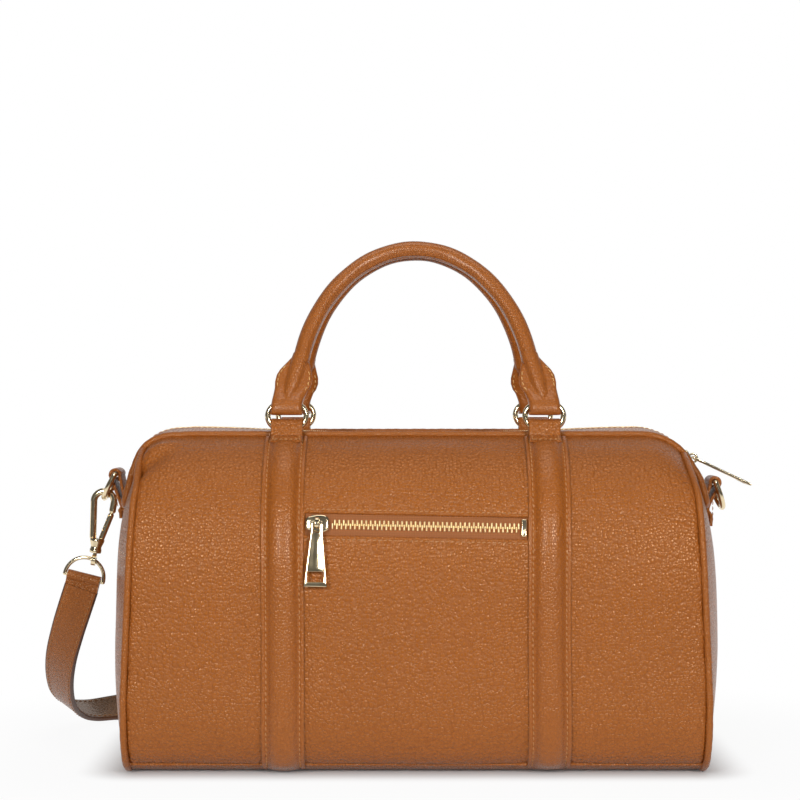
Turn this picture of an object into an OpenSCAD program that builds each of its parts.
// Barrel bag in soft leather with two rolled handles, a zipped front pocket and a shoulder strap.
// Origin: middle of the underside, on the surface that the bag stands on. X runs along the bag, Z up.
// The front with the pocket faces -Y.

/* [Body] */
// Depth from the front belly to the back belly
body_d = 175; // [150:1:210]
// Height of the middle of the zip panel above the floor
body_h = 187; // [170:1:210]
// Height of the widest level of the belly
belly_z = 88; // [80:1:98]
// Half length between the seams at the ends, below the taper
seam_half = 156.5; // [145:0.5:200]
// Half length over the bulge of the end panels
bulge_half = 170.5; // [168:0.5:215]
// Height at which the end seams start to lean inward
taper_z = 42; // [30:1:60]
// How far the end seams lean inward over their height
seam_taper = 6; // [2:0.5:9]
// How much further they tuck in just under the zip panel
seam_tuck = 2; // [1:0.5:5]
// Thickness of the outer leather with its backing
leather_t = 2.2; // [1.6:0.1:3]
// Thickness of the lining
lining_t = 0.5; // [0.4:0.1:0.8]
// Height of the seam between the belly panels and the base panel
base_seam_z = 5.5; // [4:0.5:9]
// Half depth of the flat part of the base
base_flat = 56; // [40:1:60]
// Thickness of the stiffening board on the base
board_t = 2; // [1:0.5:3]

/* [Piping] */
// Diameter of the piping round the end panels
end_piping_d = 3.8; // [3:0.1:5]
// Diameter of the piping round the zip panel
strip_piping_d = 3.2; // [2:0.1:3.6]

/* [Zip panel] */
// Half width of the zip panel over its piping
strip_half = 40; // [34:1:44]
// How far the middle of the zip panel stands above its edges on the ends
strip_crown = 4.2; // [2:0.1:5]
// Radius of the turn of the zip panel at the top corners, at its edge
corner_r = 31; // [28:0.5:34]
// Angle of that turn
corner_turn = 66; // [62:1:70]
// Distance of the ends of the straight top of the zip panel inside the end seams
corner_in_l = 30.5; // [28:0.5:40]
// Height of the top over the ends of the zip panel on the end panels
strip_fall_h = 41; // [37:1:43]
// Width of the gap in the zip panel that the teeth lie in
zip_gap = 11; // [10.5:0.5:13]
// Thickness of the leather beside the teeth
strip_t = 1.4; // [1:0.1:1.8]
// Width of the zip tape
tape_w = 28; // [22:1:32]
// Thickness of the zip tapes
tape_t = 0.8; // [0.6:0.1:1]

/* [Zips] */
// Width of the closed teeth
teeth_w = 4.9; // [4:0.1:5.6]
// Height of the teeth above their tape
teeth_t = 1.8; // [1.4:0.1:2]
// Length of the sliders
slider_l = 12.5; // [10:0.5:14]
// Width of the sliders
slider_w = 9.6; // [8:0.2:11]
// Length of the pocket's pull from its bar
pull_l = 34; // [28:1:40]
// Length of the main zip's pull from its bar
main_pull_l = 36; // [28:1:40]
// Width of the pulls at their lower end
pull_w = 12.4; // [10:0.2:14]
// Width of the pulls at their bar
pull_top_w = 6.6; // [6:0.2:7.4]
// Thickness of the pulls
pull_t = 1.6; // [1.2:0.1:1.8]

/* [Pocket] */
// Height of the top over the middle of the pocket zip
pocket_under_h = 51.4; // [42:0.2:67]
// Distance between the pocket opening's ends and the bands
pocket_end_w = 0.5; // [0.5:0.5:10]
// Height of the pocket opening
pocket_h = 11.8; // [11:0.2:14]
// Depth of the pocket bag below its zip
pocket_bag_h = 90; // [60:1:100]
// Slope of the pocket zip, right end down
pocket_slope = 1.2; // [0:0.1:2]
// Length of the end stop of the pocket zip
stop_l = 3.1; // [2:0.1:5]

/* [Bands] */
// Distance of the bands' centre lines from the middle
band_x = 71.5; // [66:0.5:90]
// Width of the bands
band_w = 23; // [20:0.5:28]
// Thickness of the bands along their stitched edges
band_t = 1.7; // [1.2:0.1:2.5]
// Height of the padded middle of the bands over the panel
band_pad = 4.2; // [3:0.1:6]
// Width of the padded middle of the bands
pad_w = 15; // [12:0.5:17]
// Width of the ring tabs at the tops of the bands
ring_tab_w = 17.4; // [14:0.2:17.4]
// Thickness of the leather that the tabs are folded from
tab_t = 1.9; // [1.4:0.1:2.2]

/* [Handle rings] */
// Outer width of the oval rings
ring_w = 24.5; // [24:0.5:30]
// Height of the oval rings between the middles of their wires
ring_h = 13.8; // [12.5:0.1:16]
// Diameter of the rings' wire
ring_wire = 3.2; // [2.6:0.1:3.4]
// Distance of the rings in front of and behind the middle
ring_y = 44; // [43:0.5:46]
// Height of the middles of the rings over the top of the bag
ring_over_h = 7; // [6:0.5:9]

/* [Handles] */
// Half width of the handle arches at their widest
arch_half = 66; // [60:0.5:84]
// Height of the handle arches over the rings, along the slanted handle
arch_h = 94.8; // [80:0.2:110]
// Diameter of the rolled handles
handle_d = 9.5; // [8:0.1:11]
// Diameter of the rope inside the handles
handle_core_d = 6.6; // [5:0.1:7]
// Slant of the handles towards each other
handle_lean = 21; // [16:0.5:21]
// Width of the stitched wings at the feet of the handles
wing_w = 20; // [17:0.5:23]
// Height at which the handle tube starts above the rings
foot_h = 27; // [24:0.5:32]

/* [End rings] */
// Height of the top of the bag over the top wire of the left end ring
left_ring_under_h = 27; // [25:0.5:31]
// Height of the top of the bag over the top wire of the right end ring
right_ring_under_h = 31.5; // [27:0.5:33]
// Distance of the end rings' top wires past the middle of the end panels
end_ring_out = 4.6; // [3:0.2:6]
// Height of the end rings between the middles of their wires
end_ring_h = 15.6; // [14:0.1:17]
// Outward lean of the right end ring, which hangs free
right_ring_lean = 20; // [16:1:26]
// Outward lean of the left end ring, which carries the strap
left_ring_lean = 28; // [22:1:32]
// Width of the end tabs
end_tab_w = 17.4; // [14:0.2:17.4]
// Length of the end tabs below their ring
end_tab_drop = 25; // [20:1:32]

/* [Strap] */
// Width of the shoulder strap
strap_w = 20; // [16:1:22]
// Thickness of the shoulder strap
strap_t = 3; // [2.4:0.1:3.4]
// Outer width of the loops at the strap's ends
loop_w = 25; // [24.4:0.2:27]
// Diameter of the loops' wire
loop_wire = 2.2; // [1.8:0.1:2.6]
// Diameter of the hooks' wire
hook_wire = 2.8; // [2.4:0.1:3.2]
// Radius of the bend at the top of the hooks
hook_r = 5.3; // [4.8:0.1:6.5]
// Height of that bend's centre above the hook's boss
hook_l = 27; // [25:0.5:32]
// Slant of the near hook
hook_lean = 9.8; // [6:0.2:14]
// Slant of the near strap loop
loop_lean = 14; // [10:0.5:16]
// How far the near hook has slid along the arch of its strap loop
loop_slip = 16; // [8:1:18]
// Downward slant of the far hook, which lies on the floor with its tip
far_dip = 16; // [14:0.5:16]

/* [Hidden] */
$fn = 48;

// Running clearance between pieces, the skin clearance between sewn layers, and the overrun of cuts
gap = 0.3;
skin = 0.1;
overrun = 1;
// Roundness of the section above and below the widest level, as exponents
top_round = 2.9;
base_round = 6;
// Roundness of the bulge of the end panels, as an exponent
bulge_power = 2.2;
leather = "peru";
dark_leather = "sienna";
gold = "gold";
half_d = body_d / 2;

// Places that follow the sizes of the body and the bands
top_half = seam_half - corner_in_l;
strip_end_z = body_h - strip_fall_h;
pocket_z = body_h - pocket_under_h;
pocket_l = 2 * band_x - band_w - 2 * pocket_end_w;
ring_z = body_h + ring_over_h;
left_ring_z = body_h - left_ring_under_h;
right_ring_z = body_h - right_ring_under_h;

// Steps of the meshes: along a panel, round an end, and round a cord of piping
panel_steps = 18;
end_steps = 44;
tube_sides = 8;
cover_sides = 10;

// Half height of the section above or below the belly, and its exponent
function rise(up) = up ? body_h - belly_z : belly_z;
function roundness(up) = up ? top_round : base_round;

// The section of the front, from u = 1 at the top middle over 0 at the belly to -1 at the base middle.
// Each point is [y, z], moved outward by off along the surface's normal.
function section(u, off = 0) =
    let (n = roundness(u > 0), b = rise(u > 0), t = 90 * pow(abs(u), n / 2),
         cy = pow(cos(t), 2 / n), cz = pow(sin(t), 2 / n) * sign(u),
         ny = pow(cy, n - 1) / half_d, nz = sign(u) * pow(abs(cz), n - 1) / b,
         len_n = norm([ny, nz]))
    [-half_d * cy - off * ny / len_n, belly_z + b * cz + off * nz / len_n];

// The value of u at which the section has a given half depth above the belly, or a given height
function u_at_depth(y) = pow(acos(pow(y / half_d, top_round / 2)) / 90, 2 / top_round);
function u_at_height(z) =
    let (up = z > belly_z, n = roundness(up))
    (up ? 1 : -1) * pow(asin(pow(abs(z - belly_z) / rise(up), n / 2)) / 90, 2 / n);

// Half length of the body at the end seam, at height z of the seam
function seam_x(z) =
    let (f = max(0, (z - taper_z) / (body_h - taper_z)))
    seam_half - seam_taper * f - seam_tuck * pow(f, 8);

// How far a point of the end lies from the belly's middle towards the seam, from 0 to 1
function reach(y, z) =
    let (up = z > belly_z, n = roundness(up))
    pow(pow(abs(y) / half_d, n) + pow(abs(z - belly_z) / rise(up), n), 1 / n);

// Half length of the body on the end panel, at depth y and height z
function end_x(y, z) =
    let (s = max(reach(y, z), 0.001), edge = seam_x(belly_z + (z - belly_z) / s))
    edge + (bulge_half - edge) * (1 - pow(s, bulge_power));

// Six times the volume between a triangle and the origin, with a sign for its direction
function corner_volume(a, b, c) = a * cross(b, c);

// A closed solid through a list of rings with as many points each, in the order of the list.
// A closed loft joins its last ring to its first one. Each ring has an even number of points, and
// its ends are closed by a ladder between its first half and its second half.
module loft(rings, closed = false) {
    n = len(rings[0]);
    m = len(rings);
    points = [for (ring = rings) each ring];
    last = closed ? m - 1 : m - 2;
    sides = [for (i = [0:last], j = [0:n - 1])
        let (a = i * n + j, b = i * n + (j + 1) % n,
             c = ((i + 1) % m) * n + (j + 1) % n, d = ((i + 1) % m) * n + j)
        each [[a, b, c], [a, c, d]]];
    ladder = [for (j = [0:n / 2 - 2])
        let (a = j, b = j + 1, c = n - 2 - j, d = n - 1 - j)
        each [[a, c, b], [a, d, c]]];
    top = (m - 1) * n;
    caps = closed ? [] : concat(ladder, [for (f = ladder) [top + f[0], top + f[2], top + f[1]]]);
    all = concat(sides, caps);
    shares = [for (f = all) corner_volume(points[f[0]], points[f[1]], points[f[2]])];
    volume = shares * [for (f = all) 1];
    polyhedron(points, volume < 0 ? all : [for (f = all) [f[0], f[2], f[1]]]);
}

function unit(v) = v / norm(v);

// Rings of a round tube along a path, with one reference direction for each point
function tube_rings(path, refs, r, sides, closed = false) =
    let (m = len(path))
    [for (i = [0:m - 1])
        let (before = path[closed ? (i + m - 1) % m : max(i - 1, 0)],
             after = path[closed ? (i + 1) % m : min(i + 1, m - 1)],
             t = unit(after - before),
             n = unit(refs[i] - (refs[i] * t) * t),
             b = cross(t, n))
        [for (j = [0:sides - 1])
            path[i] + r * cos(360 * j / sides) * n + r * sin(360 * j / sides) * b]];

module rod(a, b, r) {
    v = b - a;
    translate(a)
        rotate([0, acos(v[2] / norm(v)), atan2(v[1], v[0])])
            cylinder(h = norm(v), r = r);
}

// An oval ring of wire in the XZ plane, round its own middle
module oval_ring(w, h, wire) {
    r = h / 2;
    half = w / 2 - wire / 2 - r;
    for (s = [-1, 1])
        translate([s * half, 0, 0]) rotate([90, 0, 0]) rotate([0, 0, -90 * s])
            rotate_extrude(angle = 180) translate([r, 0]) circle(d = wire);
    for (s = [-1, 1])
        translate([-half, 0, s * r]) rotate([0, 90, 0]) cylinder(h = 2 * half, d = wire);
}

// Body panels

strip_u = u_at_depth(strip_half);
strip_top_z = section(strip_u)[1];
seam_u = u_at_height(base_seam_z);
panel_gap = strip_piping_d / 2 + skin;
end_gap = end_piping_d / 2 + skin;
// Values of u along a belly panel, from just under the zip panel to the base seam
top_stop_u = u_at_depth(strip_half + panel_gap);
panel_us = [for (i = [0:panel_steps]) top_stop_u + (seam_u - top_stop_u) * i / panel_steps];

// The top corners of the body come down with the turn of the zip panel, and less and less below it
drop_low_z = strip_end_z;
function corner_drop(x) =
    let (d = min(max(abs(x) - top_half, 0), corner_r))
    corner_r - sqrt(corner_r * corner_r - d * d);
function drop_share(z) =
    let (t = min(max((z - drop_low_z) / (strip_top_z - drop_low_z), 0), 1))
    t * t * (3 - 2 * t);

// Places along a panel, as shares of its half length
along_shares = [-1, -0.965, -0.93, -0.89, -0.845, 0, 0.845, 0.89, 0.93, 0.965, 1];
along_count = len(along_shares);
function belly_row(u, off, end_clear) =
    let (p = section(u, off), z = section(u)[1], half = seam_x(z) - end_clear)
    [for (k = along_shares) [k * half, p[0], p[1] - corner_drop(k * half) * drop_share(z)]];

// A skin along the front between two levels, each measured outward from the surface
module belly_skin(us, out, inn, end_clear) {
    loft([for (u = us)
        let (a = belly_row(u, out, end_clear), b = belly_row(u, inn, end_clear))
        concat(a, [for (j = [along_count - 1:-1:0]) b[j]])]);
}

module front_panel() {
    color(leather) difference() {
        belly_skin(panel_us, 0, -leather_t, end_gap);
        on_front() translate([-pocket_l / 2, -pocket_h / 2, -leather_t - overrun])
            cube([pocket_l, pocket_h, leather_t + 2 * overrun]);
    }
}

module back_panel() {
    color(leather) mirror([0, 1, 0]) belly_skin(panel_us, 0, -leather_t, end_gap);
}

// The base panel's outline: flat in the middle, and rising along the section to the seam
base_steps = 4;
base_gap = skin;
base_u0 = u_at_height(base_seam_z - base_gap);
base_u1 = -u_round(base_flat);
function u_round(y) = pow(acos(pow(y / half_d, base_round / 2)) / 90, 2 / base_round);
base_edge = [for (i = [0:base_steps]) section(base_u0 + (base_u1 - base_u0) * i / base_steps)];
base_drop = base_edge[base_steps][1];
base_outer = [for (i = [0:base_steps])
    [base_edge[i][0], base_edge[i][1] - base_drop * i / base_steps]];
base_inner = [for (i = [0:base_steps])
    [base_edge[i][0] + leather_t * (base_steps - i) / base_steps, base_outer[i][1] + leather_t]];
base_outline = concat(base_outer, [for (i = [base_steps:-1:0]) [-base_outer[i][0], base_outer[i][1]]],
                      [for (i = [0:base_steps]) [-base_inner[i][0], base_inner[i][1]]],
                      [for (i = [base_steps:-1:0]) base_inner[i]]);
base_half = seam_x(0) - end_gap;

module base_panel() {
    color(dark_leather) translate([-base_half, 0, 0]) rotate([90, 0, 90])
        linear_extrude(height = 2 * base_half) polygon(base_outline);
}

// Rings of the end panel: shares of the way from its middle to the seam
end_shares = [0.16, 0.4, 0.6, 0.78, 0.9, 1];
function round_section(k) =
    let (a = 4 * k / end_steps, q = floor(a), f = a - q,
         p = q == 0 ? section(f) : q == 1 ? section(1 - f) : q == 2 ? section(-f) : section(f - 1))
    [(q == 0 || q == 3 ? 1 : -1) * p[0], p[1]];
function seam_drop(z) = corner_drop(seam_x(z)) * drop_share(z);
function end_point(k, share, inset) =
    let (p = round_section(k), dz = p[1] - belly_z, edge = leather_t + gap,
         s = share * (1 - edge / norm([p[0], dz])), y = s * p[0],
         z = max(belly_z + s * dz - seam_drop(p[1]) * pow(s, 4), end_piping_d + 2 * skin),
         x = share == 1 ? seam_x(p[1]) : end_x(y, z))
    [x - inset, y, z];
function end_ring_points(share, inset) = [for (k = [0:end_steps - 1]) end_point(k, share, inset)];

module end_skin(out, inn) {
    n = len(end_shares);
    loft(concat([for (s = end_shares) end_ring_points(s, out)],
                [for (i = [n - 1:-1:0]) end_ring_points(end_shares[i], inn)]));
}

// The space that the zip panel and its piping take where they come down over the end
strip_foot_z = strip_end_z - strip_piping_d / 2 - skin;
module strip_notch() {
    half = strip_half + panel_gap;
    translate([0, -half, strip_foot_z - panel_gap]) cube([2 * bulge_half, 2 * half, body_h]);
}

// The end panel, cut out where the zip panel comes down over it
module end_panel() {
    difference() {
        end_skin(0, leather_t);
        strip_notch();
    }
}

module right_end_panel() { color(leather) end_panel(); }
module left_end_panel() { color(leather) mirror([1, 0, 0]) end_panel(); }

// Piping along the end seam, from one edge of the zip panel under the base to the other
piping_steps = 20;
piping_stop_u = u_at_depth(strip_half + panel_gap + end_gap);
piping_us = [for (i = [0:piping_steps])
    piping_stop_u + (-1 - piping_stop_u) * i / piping_steps];
function piping_front(u) =
    let (p = section(u))
    [seam_x(p[1]), p[0], max(p[1] - seam_drop(p[1]), end_piping_d / 2)];
piping_half_path = [for (u = piping_us) piping_front(u)];
piping_path = concat(piping_half_path,
                     [for (i = [piping_steps - 1:-1:0])
                         [piping_half_path[i][0], -piping_half_path[i][1], piping_half_path[i][2]]]);

module end_piping() {
    refs = [for (p = piping_path) [0, p[1], p[2] - belly_z]];
    loft(tube_rings(piping_path, refs, end_piping_d / 2, tube_sides));
}

module right_end_piping() { color(leather) end_piping(); }
module left_end_piping() { color(leather) mirror([1, 0, 0]) end_piping(); }

// Zip panel

corner_x = top_half;
corner_z = strip_top_z - corner_r;
corner_steps = 7;
end_fall_steps = 3;
corner_end = [corner_x + corner_r * sin(corner_turn), corner_z + corner_r * cos(corner_turn)];

// Half of the zip panel's edge line, from the top middle down the right end: [x, z, slant of normal]
function fall(i) =
    let (z = corner_end[1] + (strip_end_z - corner_end[1]) * i / end_fall_steps,
         step = 1, x = end_x(strip_half, z))
    [x, z, atan2(1, (end_x(strip_half, z - step) - x) / step)];
edge_half = concat([[0, strip_top_z, 0], [corner_x / 2, strip_top_z, 0]],
                   [for (i = [0:corner_steps])
                       let (a = corner_turn * i / corner_steps)
                       [corner_x + corner_r * sin(a), corner_z + corner_r * cos(a), a]],
                   [for (i = [1:end_fall_steps]) fall(i)]);
edge_count = len(edge_half);
edge_line = concat([for (i = [edge_count - 1:-1:1]) [-edge_half[i][0], edge_half[i][1], -edge_half[i][2]]],
                   edge_half);

// A point over the zip panel's edge line, at depth y and raised by off along the normal
function over(e, y, off) =
    let (h = off + strip_crown * (1 - pow(y / strip_half, 2)))
    [e[0] + h * sin(e[2]), y, e[1] + h * cos(e[2])];

// A band of the zip panel between two depths and two levels, across the points in ys
module zip_band(ys, out, inn) {
    n = len(ys);
    loft([for (e = edge_line)
        concat([for (y = ys) over(e, y, out)], [for (j = [n - 1:-1:0]) over(e, ys[j], inn)])]);
}

strip_edge = strip_half - panel_gap;
strip_ys = [-strip_edge, -tape_w / 2, -zip_gap / 2];
module zip_panel_front() { color(leather) zip_band(strip_ys, 0, -strip_t); }
module zip_panel_back() { color(leather) mirror([0, 1, 0]) zip_band(strip_ys, 0, -strip_t); }

// Piping round the whole zip panel
strip_loop_front = [for (e = edge_line) over(e, -strip_half, 0)];
strip_loop_back = [for (i = [len(edge_line) - 1:-1:0]) over(edge_line[i], strip_half, 0)];
function strip_foot(side) =
    let (n = 6)
    [for (i = [0:n])
        let (y = -side * (strip_half - strip_piping_d / 2) * (1 - 2 * i / n))
        [side * end_x(y, strip_foot_z), y, strip_foot_z]];
strip_loop = concat(strip_loop_front, strip_foot(1), strip_loop_back, strip_foot(-1));

module zip_panel_piping() {
    refs = [for (p = strip_loop) [p[0], p[1] / 2, p[2] - belly_z]];
    color(leather)
        loft(tube_rings(strip_loop, refs, strip_piping_d / 2, tube_sides, closed = true), closed = true);
}

tape_ys = [-tape_w / 2, -zip_gap / 2, zip_gap / 2, tape_w / 2];
module main_zip_tape() {
    color("chocolate") zip_band(tape_ys, -strip_t - skin, -strip_t - skin - tape_t);
}

teeth_ys = [-teeth_w / 2, teeth_w / 2];
teeth_top = teeth_t - strip_t;
module main_zip_teeth() {
    color(gold) zip_band(teeth_ys, teeth_top, -strip_t);
}

// Slider on its chain: chain along X, top of the teeth at height zero, bridge across Y or along X
slider_plate = 1.4;
slider_lift = 0.8;
bar_r = 0.8;
bar_lift = 1.5;
bridge_t = 1.3;
bridge_w = 2.2;
bridge_clear = bar_lift + bar_r + gap;
bridge_half = bar_r + gap + 0.7;
bar_h = slider_lift + slider_plate + bar_lift;

module zip_slider(turn) {
    lip = slider_lift + teeth_t - gap;
    translate([0, 0, slider_lift]) linear_extrude(height = slider_plate) hull()
        for (x = [-1, 1], y = [-1, 1])
            translate([x * (slider_l / 2 - slider_w / 4), y * slider_w / 4]) circle(r = slider_w / 4);
    for (y = [-1, 1])
        translate([-slider_l / 4, y * (slider_w / 2 - slider_plate / 2) - slider_plate / 2, slider_lift - lip])
            cube([slider_l / 2, slider_plate, lip]);
    translate([0, 0, slider_lift + slider_plate]) rotate([0, 0, turn]) difference() {
        translate([-bridge_half - bridge_t, -bridge_w / 2, 0])
            cube([2 * (bridge_half + bridge_t), bridge_w, bridge_clear + bridge_t]);
        translate([-bridge_half, -bridge_w / 2 - overrun, -overrun])
            cube([2 * bridge_half, bridge_w + 2 * overrun, bridge_clear + overrun]);
    }
}

// Pull with its bar along Y at the origin, lying along X
eye_w = bridge_w + 2 * gap + 0.2;
eye_l = norm([bridge_half + bridge_t, bridge_clear + bridge_t]) + 2 * gap;
window_l = 5.6;
window_w = 9;
window_edge = 2.4;

module zip_pull(l) {
    translate([0, 0, -pull_t / 2]) linear_extrude(height = pull_t) difference() {
        polygon([[0, -pull_top_w / 2], [eye_l + pull_t, -pull_top_w / 2], [l, -pull_w / 2],
                 [l, pull_w / 2], [eye_l + pull_t, pull_top_w / 2], [0, pull_top_w / 2]]);
        translate([-overrun, -eye_w / 2]) square([eye_l + overrun, eye_w]);
        translate([l - window_edge - window_l, -window_w / 2]) square([window_l, window_w]);
    }
    translate([0, -pull_top_w / 2, 0]) rotate([-90, 0, 0]) cylinder(h = pull_top_w, r = bar_r);
}

// Main slider, parked at the right end of the zip
park_turn = corner_turn - 2;
ride_r = corner_r + strip_crown + teeth_top;
pull_lift = 38.6;

module main_zip_slider() {
    color(gold) translate([corner_x, 0, corner_z]) rotate([0, park_turn, 0])
        translate([0, 0, ride_r]) zip_slider(0);
}

module main_zip_pull() {
    color(gold) translate([corner_x, 0, corner_z]) rotate([0, park_turn, 0])
        translate([0, 0, ride_r + bar_h]) rotate([0, -pull_lift, 0]) zip_pull(main_pull_l);
}

// Inside

pouch_t = 1.2;
lining_steps = 20;
lining_end = end_gap + leather_t + lining_t + gap;
lining_top_u = u_at_depth(tape_w / 2 + gap);
lining_floor = leather_t + board_t + 3 * skin;
lining_us = [for (i = [0:lining_steps])
    max(-1, lining_top_u - (1 + lining_top_u) * i / lining_steps)];

// The lining hangs from the zip tape, runs down one side, over the base board and up the other side.
// On the front it leaves room for the pocket bag.
function lining_level(front) = front ? -leather_t - pouch_t - 3 * gap : -leather_t - 2 * gap;
function lining_row(u, front, deeper) =
    let (row = belly_row(u, lining_level(front) - deeper, lining_end + deeper))
    [for (p = row) [p[0], front ? p[1] : -p[1], max(p[2], lining_floor + deeper)]];
function lining_ring(u, front) =
    let (a = lining_row(u, front, 0), b = lining_row(u, front, lining_t))
    concat(a, [for (j = [along_count - 1:-1:0]) b[j]]);

module lining() {
    color("wheat") loft(concat([for (u = lining_us) lining_ring(u, true)],
                               [for (i = [lining_steps - 1:-1:0]) lining_ring(lining_us[i], false)]));
}

module end_lining() {
    color("wheat") difference() {
        end_skin(leather_t + 2 * gap, leather_t + 2 * gap + lining_t);
        strip_notch();
    }
}
module right_end_lining() { end_lining(); }
module left_end_lining() { mirror([1, 0, 0]) end_lining(); }

board_margin = 8;
module base_board() {
    color("dimgray") translate([-base_half + board_margin, -base_flat + gap, leather_t + skin])
        cube([2 * (base_half - board_margin), 2 * (base_flat - gap), board_t]);
}

// Bands

// Cross outline of a band: [place across the band, height over the panel], up one side and back
pad_half = pad_w / 2;
band_half = band_w / 2;
band_top = [[-band_half, band_t], [-pad_half, band_t], [-pad_half / 2, band_pad - band_t / 4],
            [0, band_pad], [pad_half / 2, band_pad - band_t / 4], [pad_half, band_t],
            [band_half, band_t]];
band_outline = concat(band_top, [for (j = [len(band_top) - 1:-1:0]) [band_top[j][0], gap]]);
band_steps = 18;
band_start_u = u_at_depth(ring_y + ring_wire / 2 + gap + tab_t + gap);
band_us = [for (i = [0:band_steps]) band_start_u + (seam_u - band_start_u) * i / band_steps];
// The padding tapers off over the last steps at each end
function pad_share(i) = min(1, (i + 1) / 2, (band_steps - i + 1) / 2);

module band() {
    loft([for (i = [0:band_steps])
        [for (q = band_outline)
            let (h = q[1] <= band_t ? q[1] : band_t + (q[1] - band_t) * pad_share(i),
                 p = section(band_us[i], h))
            [q[0], p[0], p[1]]]]);
}

module front_left_band() { color(leather) translate([-band_x, 0, 0]) band(); }
module front_right_band() { color(leather) translate([band_x, 0, 0]) band(); }
module back_left_band() { mirror([0, 1, 0]) front_left_band(); }
module back_right_band() { mirror([0, 1, 0]) front_right_band(); }

// Ring tabs: leather folded round the lower wire of a ring, and sewn under the top of its band
low_wire_z = ring_z - ring_h / 2;
top_wire_z = ring_z + ring_h / 2;
wire_hole = ring_wire / 2 + gap;
tab_r = wire_hole + tab_t;
tab_slack = 2;
tab_foot_drop = 1.6;

// The space that a ring sweeps as it turns about one of its straight wires, which lies along X here
ring_r = ring_h / 2;
ring_straight = ring_w / 2 - ring_wire / 2 - ring_r;
module ring_sweep() {
    rotate([0, 90, 0]) rotate_extrude() difference() {
        translate([0, -ring_w / 2]) square([ring_r, ring_w]);
        for (s = [-1, 1]) translate([ring_r, s * ring_straight]) circle(r = ring_r - wire_hole);
        translate([wire_hole, -ring_straight]) square([ring_r, 2 * ring_straight]);
    }
}

// Outline of the tab in the plane across the wire, with the wire's middle at the origin
module ring_tab_outline() {
    circle(r = tab_r);
    translate([0, tab_slack]) circle(r = tab_r);
    translate([-tab_r, 0]) square([2 * tab_r, tab_slack]);
    translate([-tab_r, -tab_r - tab_foot_drop]) square([tab_t, tab_r + tab_foot_drop]);
}

module ring_tab() {
    color(leather) translate([0, -ring_y, low_wire_z]) difference() {
        translate([-ring_tab_w / 2, 0, 0]) rotate([90, 0, 90])
            linear_extrude(height = ring_tab_w) ring_tab_outline();
        ring_sweep();
    }
}

module front_left_ring_tab() { translate([-band_x, 0, 0]) ring_tab(); }
module front_right_ring_tab() { translate([band_x, 0, 0]) ring_tab(); }
module back_left_ring_tab() { mirror([0, 1, 0]) front_left_ring_tab(); }
module back_right_ring_tab() { mirror([0, 1, 0]) front_right_ring_tab(); }

module handle_ring() {
    color(gold) translate([0, -ring_y, ring_z]) oval_ring(ring_w, ring_h, ring_wire);
}
module front_left_ring() { translate([-band_x, 0, 0]) handle_ring(); }
module front_right_ring() { translate([band_x, 0, 0]) handle_ring(); }
module back_left_ring() { mirror([0, 1, 0]) front_left_ring(); }
module back_right_ring() { mirror([0, 1, 0]) front_right_ring(); }

// Handles, each drawn upright over the top wires of its rings and then leant

arch_low = 5;
foot_gap = 2 * gap;
arch_steps = 22;
// Angle on the arch at which the tube starts
arch_start = asin((foot_h - arch_low) / (arch_h - arch_low));
arch_path = [for (i = [0:arch_steps])
    let (a = arch_start + (180 - 2 * arch_start) * i / arch_steps)
    [arch_half * cos(a), 0, arch_low + (arch_h - arch_low) * sin(a)]];
arch_refs = [for (p = arch_path) [0, 1, 0]];
foot_x = arch_half * cos(arch_start);
foot_slant = atan((band_x - foot_x) / foot_h);

module lean_handle() {
    translate([0, -ring_y, top_wire_z]) rotate([-handle_lean, 0, 0]) children();
}

module handle_cover() {
    outer = tube_rings(arch_path, arch_refs, handle_d / 2, cover_sides);
    inner = tube_rings(arch_path, arch_refs, handle_core_d / 2 + skin, cover_sides);
    n = len(arch_path);
    color(leather) loft(concat(outer, [for (i = [n - 1:-1:0]) inner[i]]), closed = true);
}

module handle_core() {
    color("gray") loft(tube_rings(arch_path, arch_refs, handle_core_d / 2, cover_sides));
}

module front_handle_cover() { lean_handle() handle_cover(); }
module back_handle_cover() { mirror([0, 1, 0]) front_handle_cover(); }
module front_handle_core() { lean_handle() handle_core(); }
module back_handle_core() { mirror([0, 1, 0]) front_handle_core(); }

// Foot of a handle: a tab folded round the ring's top wire, growing into the tube, with stitched wings
foot_tab_w = ring_tab_w;
foot_r = wire_hole + tab_t;
foot_t = 2 * foot_r;
wing_t = 3.4;
wing_low = 10;
wing_high = 17;
foot_slack = 2;

module handle_foot() {
    rise_h = (foot_h - foot_gap) / cos(foot_slant);
    inner_w = foot_tab_w - 2 * skin;
    difference() {
        union() {
            translate([-foot_tab_w / 2, 0, -foot_slack]) rotate([0, 90, 0])
                cylinder(h = foot_tab_w, r = foot_r);
            translate([-foot_tab_w / 2, -foot_r, -foot_slack])
                cube([foot_tab_w, foot_t, ring_r + foot_slack]);
            hull() {
                translate([-inner_w / 2, -foot_r + skin, ring_r - tab_t])
                    cube([inner_w, foot_t - 2 * skin, tab_t + skin]);
                rotate([0, -foot_slant, 0]) translate([0, 0, rise_h - skin])
                    cylinder(h = skin, d = handle_d, $fn = 24);
            }
            rotate([0, -foot_slant, 0]) hull() {
                translate([-wing_w / 2, -wing_t / 2, wing_low])
                    cube([wing_w, wing_t, wing_high - wing_low]);
                translate([-handle_d / 2, -wing_t / 2, rise_h - wing_t]) cube([handle_d, wing_t, skin]);
                translate([-inner_w / 2, -wing_t / 2, ring_r + skin]) cube([inner_w, wing_t, skin]);
            }
        }
        ring_sweep();
    }
}

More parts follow.
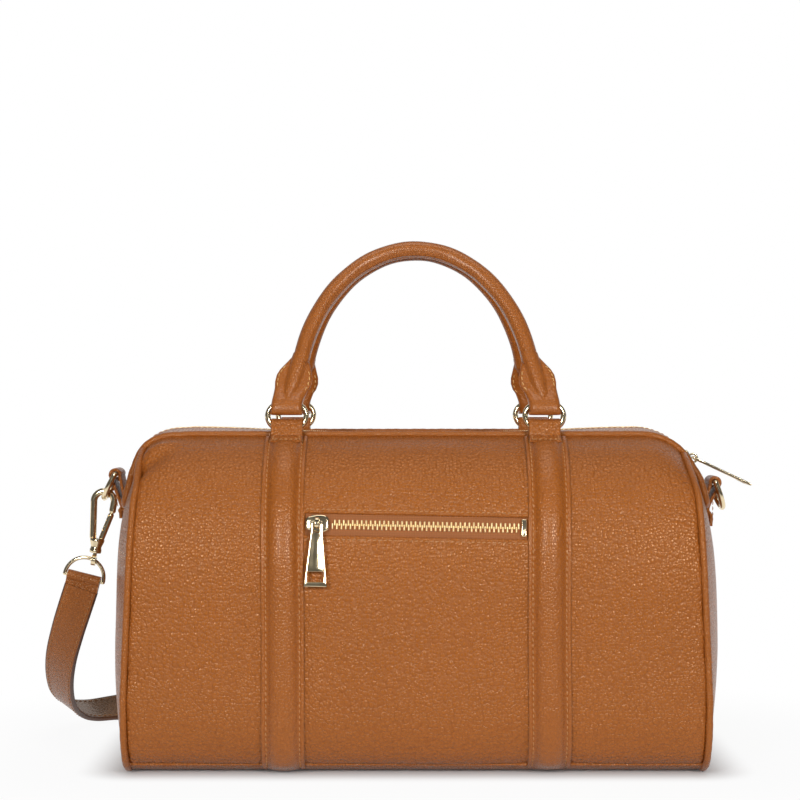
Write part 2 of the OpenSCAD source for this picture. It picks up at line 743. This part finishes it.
module front_right_handle_foot() {
    color(leather) lean_handle() translate([band_x, 0, 0]) handle_foot();
}
module front_left_handle_foot() { mirror([1, 0, 0]) front_right_handle_foot(); }
module back_right_handle_foot() { mirror([0, 1, 0]) front_right_handle_foot(); }
module back_left_handle_foot() { mirror([0, 1, 0]) front_left_handle_foot(); }

// Pocket

pocket_u = u_at_height(pocket_z);
pocket_at = section(pocket_u);
pocket_out = section(pocket_u, 1) - pocket_at;
pocket_tilt = atan2(pocket_out[1], -pocket_out[0]);

// Places children on the front at the pocket zip: X along the zip, Y up the panel, Z outward
module on_front() {
    translate([0, pocket_at[0], pocket_at[1]]) rotate([90 - pocket_tilt, 0, 0])
        rotate([0, 0, -pocket_slope]) children();
}

tape_down = leather_t - tape_t;
chain_top = teeth_t - tape_down;
slider_start = -pocket_l / 2 + slider_l / 2 + gap;
pull_settle = 5;

module pocket_tape() {
    color("chocolate") on_front() translate([-pocket_l / 2 + gap, -pocket_h / 2 + gap, -leather_t])
        cube([pocket_l - 2 * gap, pocket_h - 2 * gap, tape_t]);
}

module pocket_teeth() {
    color(gold) on_front() translate([-pocket_l / 2 + gap, -teeth_w / 2, -tape_down])
        cube([pocket_l - 2 * gap - stop_l, teeth_w, teeth_t]);
}

module pocket_stop() {
    color(gold) on_front()
        translate([pocket_l / 2 - gap - stop_l, -slider_w / 2, -tape_down])
            cube([stop_l, slider_w, teeth_t + slider_plate]);
}

module pocket_slider() {
    color(gold) on_front() translate([slider_start, 0, chain_top]) zip_slider(90);
}

module pocket_pull() {
    color(gold) on_front() translate([slider_start, 0, chain_top + bar_h])
        rotate([pull_settle, 0, 0]) rotate([0, 0, -90]) zip_pull(pull_l);
}

// The pocket bag, an empty flat pouch between the front panel and the lining
pouch_steps = 8;
pouch_us = [for (i = [0:pouch_steps])
    let (z = pocket_z + pocket_h - (pocket_bag_h + pocket_h) * i / pouch_steps) u_at_height(z)];
module pocket_bag() {
    x = pocket_l / 2;
    color("wheat") loft([for (u = pouch_us)
        let (o = section(u, -leather_t - gap), i = section(u, -leather_t - pouch_t))
        [[-x, o[0], o[1]], [x, o[0], o[1]], [x, i[0], i[1]], [-x, i[0], i[1]]]]);
}

// End tabs and rings

end_ring_x = end_x(0, strip_end_z) + strip_crown + end_ring_out;
tab_lay = 2 * tab_t;

// An end tab, from the side: a loop round the ring's bar, and two layers sewn onto the end panel
module end_tab(z) {
    low = z - end_tab_drop;
    knee = strip_end_z - panel_gap - strip_piping_d;
    face_low = end_x(0, low) + skin;
    face_knee = end_x(0, knee) + skin;
    hold = wire_hole + tab_t / 2;
    translate([0, end_tab_w / 2, 0]) rotate([90, 0, 0]) difference() {
        union() {
            translate([end_ring_x, z, 0]) cylinder(h = end_tab_w, r = tab_r);
            linear_extrude(height = end_tab_w)
                polygon([[end_ring_x - hold, z], [end_ring_x + hold, z], [face_knee + tab_lay, knee],
                         [face_low + tab_lay, low], [face_low, low], [face_knee, knee]]);
        }
        translate([end_ring_x, z, -overrun]) cylinder(h = end_tab_w + 2 * overrun, r = wire_hole);
    }
}

module right_end_tab() { color(leather) end_tab(right_ring_z); }
module left_end_tab() { color(leather) mirror([1, 0, 0]) end_tab(left_ring_z); }

// A loop of wire: a straight bar along X at the origin, and an arch over it
module arch_loop(half, side, wire) {
    r = wire / 2;
    rod([-half, 0, 0], [half, 0, 0], r);
    for (s = [-1, 1]) {
        rod([s * half, 0, 0], [s * half, 0, side], r);
        translate([s * half, 0, 0]) sphere(r = r);
    }
    translate([0, 0, side]) rotate([90, 0, 0])
        rotate_extrude(angle = 180) translate([half, 0]) circle(r = r);
}

end_ring_half = (ring_w - ring_wire) / 2;
end_ring_side = end_ring_h - end_ring_half;
module end_ring(z, lean) {
    color(gold) translate([end_ring_x, 0, z]) rotate([0, 180 - lean, 0]) rotate([0, 0, 90])
        arch_loop(end_ring_half, end_ring_side, ring_wire);
}

module right_end_ring() { end_ring(right_ring_z, right_ring_lean); }
module left_end_ring() { mirror([1, 0, 0]) end_ring(left_ring_z, left_ring_lean); }

// Shoulder strap: its route from the near loop down behind the bag, folded up to its far loop.
// Each row is a point of the middle line and the direction across the strap there.
strap_route = [
    [[-194, 0, 92], [0.97, 0, -0.24]],
    [[-198, 3, 81], [0.95, -0.05, -0.3]],
    [[-203, 10, 68], [0.93, -0.15, -0.33]],
    [[-209, 22, 51], [0.9, -0.28, -0.35]],
    [[-213, 39, 35], [0.85, -0.4, -0.35]],
    [[-214, 58, 21], [0.8, -0.45, -0.4]],
    [[-211, 77, 12], [0.72, -0.52, -0.45]],
    [[-203, 92, 8], [0.55, -0.68, -0.48]],
    [[-191, 101, 8], [0.4, -0.72, -0.57]],
    [[-176, 106, 9], [0.2, -0.65, -0.73]],
    [[-158, 109, 10.5], [0.05, -0.3, -0.95]],
    [[-140, 110, 10.5], [0, 0, -1]],
    [[-100, 110, 10.5], [0, 0, -1]],
    [[-50, 110, 10.5], [0, 0, -1]],
    [[0, 110, 10.5], [0, 0, -1]],
    [[50, 110, 10.5], [0, 0, -1]],
    [[90, 110, 10.5], [0, 0, -1]],
    [[110, 110, 10.5], [0, 0, -1]],
    [[125, 114, 10.5], [0, 0, -1]],
    [[136, 125, 10.5], [0, 0, -1]],
    [[140, 140, 10.5], [0, 0, -1]],
    [[136, 155, 10.5], [0, 0, -1]],
    [[125, 166, 10.5], [0, 0, -1]],
    [[110, 170, 10.5], [0, 0, -1]],
    [[60, 170, 10.5], [0, 0, -1]],
    [[0, 170, 10.5], [0, 0, -1]],
    [[-60, 170, 10.5], [0, 0, -1]],
    [[-120, 170, 10.5], [0, 0, -1]],
    [[-135, 174, 10.5], [0, 0, -1]],
    [[-146, 185, 10.5], [0, 0, -1]],
    [[-150, 200, 10.5], [0, 0, -1]],
    [[-146, 215, 10.5], [0, 0, -1]],
    [[-135, 226, 10.5], [0, 0, -1]],
    [[-120, 230, 10.5], [0, 0, -1]],
    [[-80, 230, 10.5], [0, 0, -1]],
    [[-40, 230, 11], [0, 0, -1]],
    [[-18, 230, 12.8], [0, 0, -1]],
    [[-8, 230, 13], [0, 0, -1]]
];
far_bar = [0, 230, 13];

function strap_ring(i) =
    let (last = len(strap_route) - 1, p = strap_route[i][0],
         t = unit(strap_route[min(i + 1, last)][0] - strap_route[max(i - 1, 0)][0]),
         w0 = strap_route[i][1], w = unit(w0 - (w0 * t) * t), n = cross(t, w),
         a = strap_w / 2, h = strap_t / 2)
    [p - a * w - h * n, p + a * w - h * n, p + a * w + h * n, p - a * w + h * n];

module shoulder_strap() {
    color(leather) loft([for (i = [0:len(strap_route) - 1]) strap_ring(i)]);
}

// Loops at the ends of the strap, and the ends of the strap folded round their bars
loop_half = (loop_w - loop_wire) / 2;
loop_side = 0.4;
loop_hole = loop_wire / 2 + gap;
fold_r = loop_hole + strap_t / 2;
fold_l = 7;
fold_w = 2 * (loop_half - loop_wire / 2 - 2 * gap);

module strap_loop() { color(gold) arch_loop(loop_half, loop_side, loop_wire); }

// The fold, with the bar's middle at the origin and the strap going down
module strap_fold() {
    color(leather) translate([-fold_w / 2, 0, 0]) rotate([90, 0, 90])
        linear_extrude(height = fold_w) difference() {
            union() {
                circle(r = fold_r);
                translate([-strap_t / 2, -fold_l]) square([strap_t, fold_l - loop_hole]);
            }
            circle(r = loop_hole);
        }
}

// Hook: its long axis along Z, its boss at the origin, and its swivel post with an eye below
boss_r = 3.4;
boss_low = 3.2;
boss_h = 5.2;
neck_r = 1.1;
head_r = 1.8;
head_z = 1.5;
head_t = 1.3;
eye_z = 7.5;
eye_r = 3.2;
eye_t = 2.4;
eye_hole = loop_wire / 2 + 2 * gap;
nose_z = 20.5;
hook_taper = 8;
gate_foot = [2, 0, boss_h + 0.8];
hook_rod = hook_wire / 2;
leg_top = [-hook_r * cos(hook_taper), 0, hook_l - hook_r * sin(hook_taper)];
leg_foot_z = boss_h - hook_rod;
leg_foot = [leg_top[0] + (leg_top[2] - leg_foot_z) * tan(hook_taper), 0, leg_foot_z];

module hook() {
    color(gold) {
        difference() {
            translate([0, 0, -boss_low]) cylinder(h = boss_low + boss_h, r = boss_r);
            translate([0, 0, -boss_low - overrun])
                cylinder(h = boss_low + overrun + head_z, r = neck_r + gap);
            translate([0, 0, head_z - gap]) cylinder(h = head_t + 2 * gap, r = head_r + gap);
        }
        rod(leg_foot, leg_top, hook_rod);
        translate(leg_top) sphere(r = hook_rod + skin);
        translate([hook_r, 0, hook_l]) sphere(r = hook_rod + skin);
        translate([0, 0, hook_l]) rotate([90, 0, 0]) rotate_extrude(angle = 180 + hook_taper)
            translate([hook_r, 0]) circle(r = hook_rod);
        rod([hook_r, 0, nose_z], [hook_r, 0, hook_l], hook_rod);
    }
}

module hook_post() {
    color(gold) {
        translate([0, 0, -eye_z]) cylinder(h = eye_z + head_z, r = neck_r);
        translate([0, 0, head_z]) cylinder(h = head_t, r = head_r);
    }
}

module hook_eye_post() {
    difference() {
        union() {
            hook_post();
            color(gold) translate([-eye_t / 2, 0, -eye_z]) rotate([0, 90, 0])
                cylinder(h = eye_t, r = eye_r);
        }
        translate([-eye_t, 0, -eye_z]) rotate([0, 90, 0]) cylinder(h = 2 * eye_t, r = eye_hole);
    }
}

module hook_gate() {
    tip = [hook_r - gap, 0, nose_z - 2 * gap];
    color(gold) rod(gate_foot, tip, hook_rod - skin);
}

// The near hook hangs in the left end ring, the far one lies behind the bag
left_eye = [-end_ring_x - end_ring_h * sin(left_ring_lean), 0,
            left_ring_z - end_ring_h * cos(left_ring_lean)];
hook_reach = hook_l + hook_r - hook_rod - ring_wire / 2 - gap;

module near_frame() {
    translate(left_eye) rotate([0, hook_lean, 0]) translate([0, 0, -hook_reach]) children();
}

module near_hook() { near_frame() hook(); }
module near_hook_post() { near_frame() hook_eye_post(); }
module near_hook_gate() { near_frame() hook_gate(); }

// The near loop's arch passes through the eye of the near hook's post
near_hole = left_eye - (hook_reach + eye_z) * [sin(hook_lean), 0, cos(hook_lean)];
loop_across = loop_half * sin(loop_slip);
loop_up = loop_side + loop_half * cos(loop_slip);
near_bar = near_hole - loop_across * [cos(loop_lean), 0, -sin(loop_lean)]
    - loop_up * [sin(loop_lean), 0, cos(loop_lean)];
module near_strap_loop() { translate(near_bar) rotate([0, loop_lean, 0]) strap_loop(); }
module near_strap_fold() { translate(near_bar) rotate([0, loop_lean, 0]) strap_fold(); }

module far_strap_loop() { translate(far_bar) rotate([0, 90, 0]) strap_loop(); }
module far_strap_fold() { translate(far_bar) rotate([0, 90, 0]) strap_fold(); }

far_hole = far_bar + [loop_side + loop_half, 0, 0];
module far_frame() {
    translate(far_hole) rotate([0, 90 + far_dip, 0]) translate([0, 0, eye_z]) children();
}
module far_hook() { far_frame() rotate([0, 0, 90]) hook(); }
module far_hook_post() { far_frame() hook_eye_post(); }
module far_hook_gate() { far_frame() rotate([0, 0, 90]) hook_gate(); }

front_panel();
back_panel();
base_panel();
left_end_panel();
right_end_panel();
left_end_piping();
right_end_piping();
zip_panel_front();
zip_panel_back();
zip_panel_piping();
main_zip_tape();
main_zip_teeth();
main_zip_slider();
main_zip_pull();
lining();
left_end_lining();
right_end_lining();
base_board();
front_left_band();
front_right_band();
back_left_band();
back_right_band();
front_left_ring_tab();
front_right_ring_tab();
back_left_ring_tab();
back_right_ring_tab();
front_left_ring();
front_right_ring();
back_left_ring();
back_right_ring();
front_handle_cover();
back_handle_cover();
front_handle_core();
back_handle_core();
front_left_handle_foot();
front_right_handle_foot();
back_left_handle_foot();
back_right_handle_foot();
pocket_tape();
pocket_teeth();
pocket_slider();
pocket_pull();
pocket_stop();
pocket_bag();
left_end_tab();
right_end_tab();
left_end_ring();
right_end_ring();
shoulder_strap();
near_strap_fold();
near_strap_loop();
near_hook_post();
near_hook();
near_hook_gate();
far_strap_fold();
far_strap_loop();
far_hook_post();
far_hook();
far_hook_gate();
